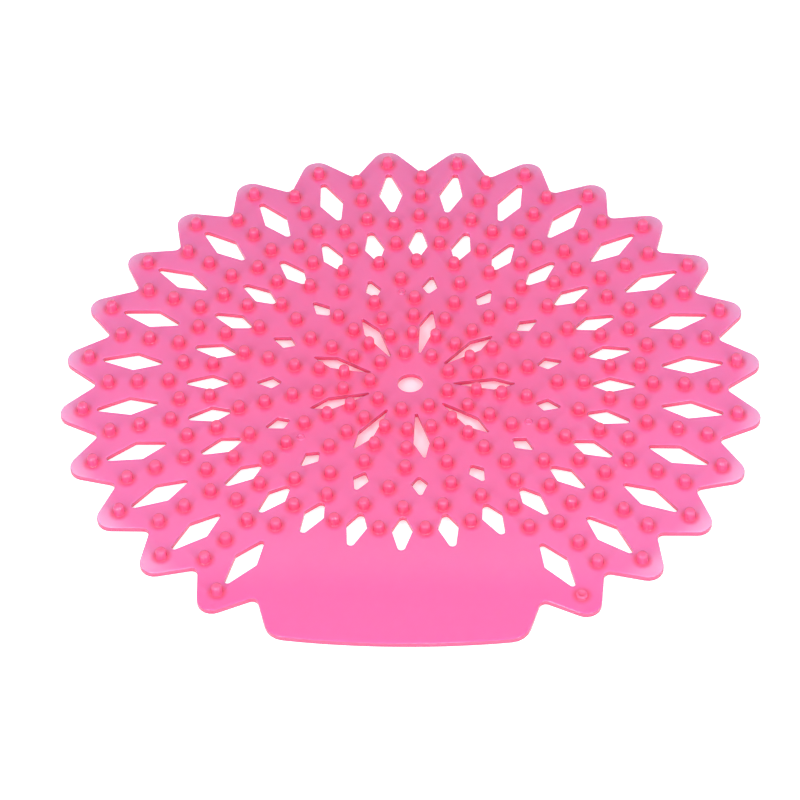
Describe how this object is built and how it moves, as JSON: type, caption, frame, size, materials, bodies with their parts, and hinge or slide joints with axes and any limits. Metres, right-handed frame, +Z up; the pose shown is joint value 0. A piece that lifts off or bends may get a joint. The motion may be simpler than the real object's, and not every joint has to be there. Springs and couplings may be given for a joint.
{
  "type": "urinal deodorizer screen",
  "caption": "Thin round flexible drain screen with a toothed rim, a plain grip tab, rings of diamond openings and short blunt nubs on its upper face.",
  "frame": {"origin": "middle of the outer box, on the plane that the tooth tips and the tab's edge rest on", "axes": "+Z up through the nubs, -Y from the hub towards the grip tab, +X to the right as the tab faces the viewer"},
  "size_m": [0.1854, 0.183, 0.0061],
  "materials": {
    "soft_pink": "soft moulded, slightly glossy and slightly see-through pink"
  },
  "bodies": {
    "root": {"screen": "soft_pink"}
  },
  "joints": []
}
